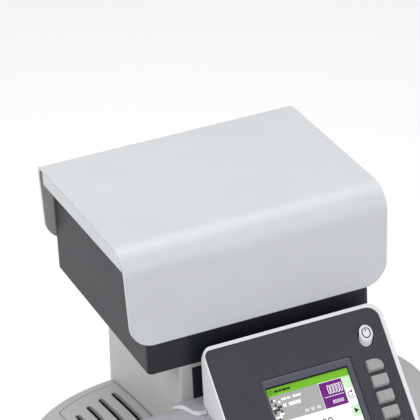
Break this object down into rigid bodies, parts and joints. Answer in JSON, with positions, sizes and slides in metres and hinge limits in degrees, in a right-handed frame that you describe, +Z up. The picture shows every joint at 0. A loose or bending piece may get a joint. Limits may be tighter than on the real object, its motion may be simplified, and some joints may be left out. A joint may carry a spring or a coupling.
{
  "type": "franking machine",
  "caption": "Desktop franking machine with rounded grey covers, a raised letter scale under a saddle-shaped platter and a sloped control panel.",
  "frame": {"origin": "middle of the footprint on the surface that the feet stand on", "axes": "+X to the right, the way letters travel; +Y to the back; +Z up"},
  "size_m": [0.37, 0.277, 0.33],
  "materials": {
    "platter_silver": "satin silver paint on bent sheet",
    "dark_plastic": "fine-textured dark grey moulding",
    "light_grey_plastic": "fine-textured light grey moulding",
    "bluish_grey_plastic": "fine-textured bluish grey moulding",
    "white_plastic": "smooth off-white moulding",
    "fascia_plastic": "matt charcoal overlay",
    "key_plastic": "satin grey key caps",
    "display_glass": "colour display behind clear plastic",
    "steel": "bright sheet and turned steel",
    "aluminium": "machined",
    "rubber": "matt black",
    "circuit_board": "green solder mask",
    "black_plastic": "fine-textured black moulding"
  },
  "bodies": {
    "root": {"scale_housing": "dark_plastic", "scale_lid": "dark_plastic", "column_core": "dark_plastic", "base_pan": "dark_plastic", "scale_column": "light_grey_plastic", "body_cover": "light_grey_plastic", "lower_cover": "light_grey_plastic", "ledge_plate": "light_grey_plastic", "console_cover": "bluish_grey_plastic", "panel_housing": "white_plastic", "panel_fascia": "fascia_plastic", "display_bezel": "fascia_plastic", "display_screen": "display_glass", "transport_plate": "steel", "chassis": "steel", "print_frame": "steel", "load_cell": "aluminium", "platter_carrier": "aluminium", "drive_motor": "steel", "power_supply": "steel", "drive_belt": "rubber", "main_board": "circuit_board", "power_inlet": "black_plastic", "print_head": "black_plastic", "fan_frame": "black_plastic", "foot_front_left": "rubber", "foot_front_right": "rubber", "foot_back_left": "rubber", "foot_back_right": "rubber"},
    "hood": {"front_hood": "bluish_grey_plastic"},
    "hatch": {"vent_hatch": "light_grey_plastic"},
    "weighing_platter": {"platter": "platter_silver"},
    "cartridge": {"ink_cartridge": "black_plastic"},
    "rocker": {"mains_switch": "black_plastic"},
    "fan": {"fan_rotor": "black_plastic"},
    "roller_in": {"feed_shaft_in": "steel", "feed_tyre_in": "rubber"},
    "roller_out": {"feed_shaft_out": "steel", "feed_tyre_out": "rubber"},
    "motor_drive": {"motor_pulley": "white_plastic"},
    "press_in": {"pressure_roller_in": "rubber"},
    "press_out": {"pressure_roller_out": "rubber"},
    "power_key": {"power_button": "white_plastic"},
    "soft_key_1": {"soft_key_1": "key_plastic"},
    "soft_key_2": {"soft_key_2": "key_plastic"},
    "soft_key_3": {"soft_key_3": "key_plastic"},
    "soft_key_4": {"soft_key_4": "key_plastic"},
    "soft_key_5": {"soft_key_5": "key_plastic"},
    "number_key_1": {"number_key_1": "key_plastic"},
    "number_key_2": {"number_key_2": "key_plastic"},
    "number_key_3": {"number_key_3": "key_plastic"},
    "number_key_4": {"number_key_4": "key_plastic"},
    "number_key_5": {"number_key_5": "key_plastic"},
    "number_key_6": {"number_key_6": "key_plastic"},
    "number_key_7": {"number_key_7": "key_plastic"},
    "number_key_8": {"number_key_8": "key_plastic"},
    "number_key_9": {"number_key_9": "key_plastic"},
    "number_key_clear": {"number_key_clear": "key_plastic"},
    "number_key_0": {"number_key_0": "key_plastic"},
    "number_key_enter": {"number_key_enter": "key_plastic"}
  },
  "joints": [
    {"name": "hood_hinge", "type": "hinge", "parent": "root", "child": "hood", "pos_m": [-0.1, -0.041, 0.194], "axis": [-1, 0, 0], "range_deg": [0, 60]},
    {"name": "hatch_lift", "type": "slide", "parent": "root", "child": "hatch", "axis": [0, 0, 1], "range_m": [0, 0.025]},
    {"name": "platter_lift", "type": "slide", "parent": "root", "child": "weighing_platter", "axis": [0, 0, 1], "range_m": [0, 0.06]},
    {"name": "cartridge_lift", "type": "slide", "parent": "root", "child": "cartridge", "axis": [0, 0, 1], "range_m": [0, 0.014]},
    {"name": "rocker_tilt", "type": "hinge", "parent": "root", "child": "rocker", "pos_m": [-0.003, 0.118, 0.108], "axis": [1, 0, 0], "range_deg": [0, 16]},
    {"name": "fan_spin", "type": "hinge", "parent": "root", "child": "fan", "pos_m": [-0.088, 0.045, 0.126], "axis": [0, 0, 1], "continuous": true},
    {"name": "roller_in_spin", "type": "hinge", "parent": "root", "child": "roller_in", "pos_m": [-0.115, -0.063, 0.0668], "axis": [0, 1, 0], "continuous": true},
    {"name": "roller_out_spin", "type": "hinge", "parent": "root", "child": "roller_out", "pos_m": [0.045, -0.063, 0.0668], "axis": [0, 1, 0], "continuous": true},
    {"name": "motor_spin", "type": "hinge", "parent": "root", "child": "motor_drive", "pos_m": [-0.035, -0.012, 0.034], "axis": [0, 1, 0], "continuous": true},
    {"name": "press_in_spin", "type": "hinge", "parent": "root", "child": "press_in", "pos_m": [-0.115, -0.063, 0.0902], "axis": [0, 1, 0], "continuous": true},
    {"name": "press_out_spin", "type": "hinge", "parent": "root", "child": "press_out", "pos_m": [0.045, -0.063, 0.0902], "axis": [0, 1, 0], "continuous": true},
    {"name": "power_press", "type": "slide", "parent": "root", "child": "power_key", "axis": [0, 0.742, -0.6704], "range_m": [0, 0.001], "stiffness_N_per_m": 500},
    {"name": "soft_key_1_press", "type": "slide", "parent": "root", "child": "soft_key_1", "axis": [0, 0.742, -0.6704], "range_m": [0, 0.0012], "stiffness_N_per_m": 400},
    {"name": "soft_key_2_press", "type": "slide", "parent": "root", "child": "soft_key_2", "axis": [0, 0.742, -0.6704], "range_m": [0, 0.0012], "stiffness_N_per_m": 400},
    {"name": "soft_key_3_press", "type": "slide", "parent": "root", "child": "soft_key_3", "axis": [0, 0.742, -0.6704], "range_m": [0, 0.0012], "stiffness_N_per_m": 400},
    {"name": "soft_key_4_press", "type": "slide", "parent": "root", "child": "soft_key_4", "axis": [0, 0.742, -0.6704], "range_m": [0, 0.0012], "stiffness_N_per_m": 400},
    {"name": "soft_key_5_press", "type": "slide", "parent": "root", "child": "soft_key_5", "axis": [0, 0.742, -0.6704], "range_m": [0, 0.0012], "stiffness_N_per_m": 400},
    {"name": "number_key_1_press", "type": "slide", "parent": "root", "child": "number_key_1", "axis": [0, 0.742, -0.6704], "range_m": [0, 0.0012], "stiffness_N_per_m": 400},
    {"name": "number_key_2_press", "type": "slide", "parent": "root", "child": "number_key_2", "axis": [0, 0.742, -0.6704], "range_m": [0, 0.0012], "stiffness_N_per_m": 400},
    {"name": "number_key_3_press", "type": "slide", "parent": "root", "child": "number_key_3", "axis": [0, 0.742, -0.6704], "range_m": [0, 0.0012], "stiffness_N_per_m": 400},
    {"name": "number_key_4_press", "type": "slide", "parent": "root", "child": "number_key_4", "axis": [0, 0.742, -0.6704], "range_m": [0, 0.0012], "stiffness_N_per_m": 400},
    {"name": "number_key_5_press", "type": "slide", "parent": "root", "child": "number_key_5", "axis": [0, 0.742, -0.6704], "range_m": [0, 0.0012], "stiffness_N_per_m": 400},
    {"name": "number_key_6_press", "type": "slide", "parent": "root", "child": "number_key_6", "axis": [0, 0.742, -0.6704], "range_m": [0, 0.0012], "stiffness_N_per_m": 400},
    {"name": "number_key_7_press", "type": "slide", "parent": "root", "child": "number_key_7", "axis": [0, 0.742, -0.6704], "range_m": [0, 0.0012], "stiffness_N_per_m": 400},
    {"name": "number_key_8_press", "type": "slide", "parent": "root", "child": "number_key_8", "axis": [0, 0.742, -0.6704], "range_m": [0, 0.0012], "stiffness_N_per_m": 400},
    {"name": "number_key_9_press", "type": "slide", "parent": "root", "child": "number_key_9", "axis": [0, 0.742, -0.6704], "range_m": [0, 0.0012], "stiffness_N_per_m": 400},
    {"name": "number_key_clear_press", "type": "slide", "parent": "root", "child": "number_key_clear", "axis": [0, 0.742, -0.6704], "range_m": [0, 0.0012], "stiffness_N_per_m": 400},
    {"name": "number_key_0_press", "type": "slide", "parent": "root", "child": "number_key_0", "axis": [0, 0.742, -0.6704], "range_m": [0, 0.0012], "stiffness_N_per_m": 400},
    {"name": "number_key_enter_press", "type": "slide", "parent": "root", "child": "number_key_enter", "axis": [0, 0.742, -0.6704], "range_m": [0, 0.0012], "stiffness_N_per_m": 400}
  ],
  "couplings": [
    {"joint": "roller_out_spin", "follows": "roller_in_spin", "ratio": 1},
    {"joint": "motor_spin", "follows": "roller_in_spin", "ratio": 1.3333},
    {"joint": "press_in_spin", "follows": "roller_in_spin", "ratio": -1.5556},
    {"joint": "press_out_spin", "follows": "roller_in_spin", "ratio": -1.5556}
  ]
}
